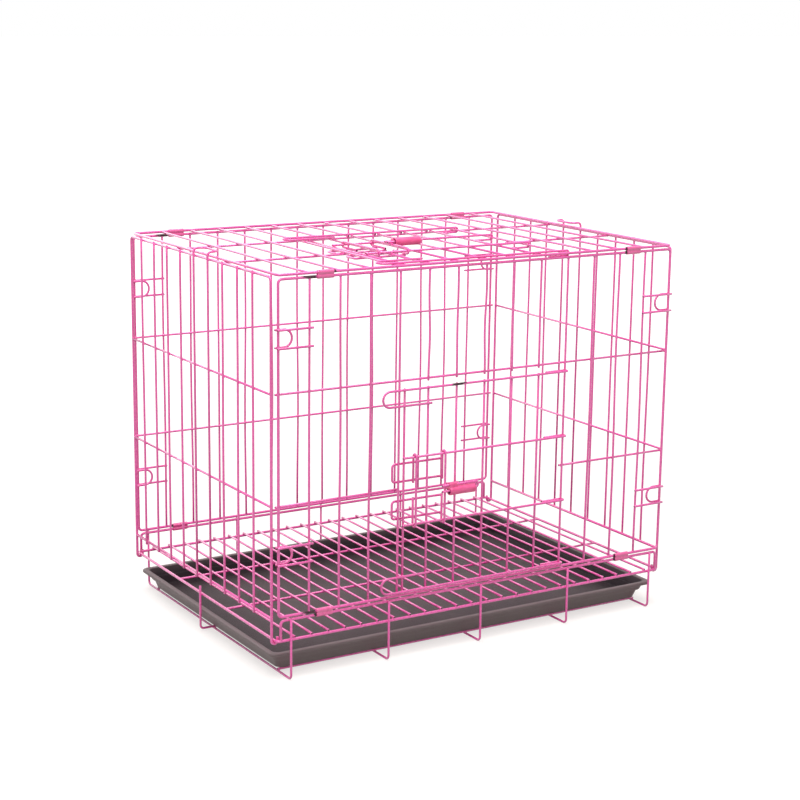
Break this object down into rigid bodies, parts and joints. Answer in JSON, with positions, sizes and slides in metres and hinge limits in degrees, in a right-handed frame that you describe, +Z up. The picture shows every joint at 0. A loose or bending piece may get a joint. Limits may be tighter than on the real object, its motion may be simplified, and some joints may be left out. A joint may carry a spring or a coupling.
{
  "type": "folding wire dog crate",
  "caption": "Folding crate of coated wire for a small dog, with latched doors in its front and roof, drop-down sides, a slatted floor and a pull-out tray below it.",
  "frame": {"origin": "centre of the crate's box on the ground", "axes": "+X along the crate towards the side the tray pulls out of, +Y from front to back, +Z up"},
  "size_m": [0.6096, 0.4401, 0.5173],
  "materials": {
    "coated_wire": "glossy hot-pink coating over steel wire",
    "clip_metal": "glossy hot-pink coating over sheet steel",
    "grip_plastic": "smooth bright pink plastic",
    "tray_plastic": "finely grained dark grey plastic"
  },
  "bodies": {
    "base": {"floor_frame": "coated_wire", "floor_bars": "coated_wire", "floor_cross_wires": "coated_wire", "front_rail": "coated_wire", "back_rail": "coated_wire", "leg_wires": "coated_wire", "front_ground_wire": "coated_wire", "back_ground_wire": "coated_wire", "tray_stop_wire": "coated_wire", "front_rail_clips": "clip_metal", "back_rail_clips": "clip_metal"},
    "tray": {"tray": "tray_plastic"},
    "front_panel": {"front_frame": "coated_wire", "front_bars": "coated_wire", "front_cross_wires": "coated_wire", "front_hook_bars": "coated_wire", "front_corner_loops": "coated_wire"},
    "back_panel": {"back_frame": "coated_wire", "back_bars": "coated_wire", "back_cross_wires": "coated_wire", "back_hook_bars": "coated_wire", "back_corner_loops": "coated_wire"},
    "roof": {"roof_frame": "coated_wire", "roof_bars": "coated_wire", "roof_cross_wires": "coated_wire", "roof_front_clips": "clip_metal", "roof_back_clips": "clip_metal"},
    "left_panel": {"left_frame": "coated_wire", "left_bars": "coated_wire", "left_cross_wires": "coated_wire", "left_top_hook": "coated_wire"},
    "right_panel": {"right_frame": "coated_wire", "right_bars": "coated_wire", "right_cross_wires": "coated_wire", "right_top_hook": "coated_wire"},
    "front_door": {"front_door_bars": "coated_wire", "front_door_cross_wires": "coated_wire"},
    "front_latch": {"front_latch_slider": "coated_wire", "front_latch_bolts": "coated_wire", "front_latch_handle": "coated_wire", "front_latch_grip": "grip_plastic"},
    "roof_door": {"roof_door_bars": "coated_wire", "roof_door_cross_wires": "coated_wire"},
    "roof_latch": {"roof_latch_slider": "coated_wire", "roof_latch_bolts": "coated_wire", "roof_latch_handle": "coated_wire", "roof_latch_grip": "grip_plastic"}
  },
  "joints": [
    {"name": "back_panel_fold", "type": "hinge", "parent": "base", "child": "back_panel", "pos_m": [0, 0.21525, 0.083], "axis": [-1, 0, 0], "range_deg": [0, 87]},
    {"name": "front_panel_fold", "type": "hinge", "parent": "base", "child": "front_panel", "pos_m": [0, -0.20475, 0.083], "axis": [-1, 0, 0], "range_deg": [0, 87]},
    {"name": "roof_level", "type": "hinge", "parent": "back_panel", "child": "roof", "pos_m": [0, 0.21525, 0.497], "axis": [1, 0, 0], "range_deg": [0, 87]},
    {"name": "left_panel_swing", "type": "hinge", "parent": "base", "child": "left_panel", "pos_m": [-0.296, 0.00525, 0.052], "axis": [0, -1, 0], "range_deg": [0, 90]},
    {"name": "right_panel_swing", "type": "hinge", "parent": "base", "child": "right_panel", "pos_m": [0.296, 0.00525, 0.052], "axis": [0, 1, 0], "range_deg": [0, 90]},
    {"name": "front_door_swing", "type": "hinge", "parent": "front_panel", "child": "front_door", "pos_m": [0.126, -0.20445, 0.083], "axis": [0, 0, 1], "range_deg": [0, 150]},
    {"name": "front_latch_slide", "type": "slide", "parent": "front_door", "child": "front_latch", "axis": [1, 0, 0], "range_m": [0, 0.014]},
    {"name": "roof_door_swing", "type": "hinge", "parent": "roof", "child": "roof_door", "pos_m": [0.126, -0.20475, 0.5017], "axis": [0, 1, 0], "range_deg": [0, 150]},
    {"name": "roof_latch_slide", "type": "slide", "parent": "roof_door", "child": "roof_latch", "axis": [1, 0, 0], "range_m": [0, 0.014]},
    {"name": "tray_slide", "type": "slide", "parent": "base", "child": "tray", "axis": [1, 0, 0], "range_m": [0, 0.58]}
  ],
  "couplings": [
    {"joint": "front_panel_fold", "follows": "back_panel_fold", "ratio": 1},
    {"joint": "roof_level", "follows": "back_panel_fold", "ratio": 1}
  ]
}
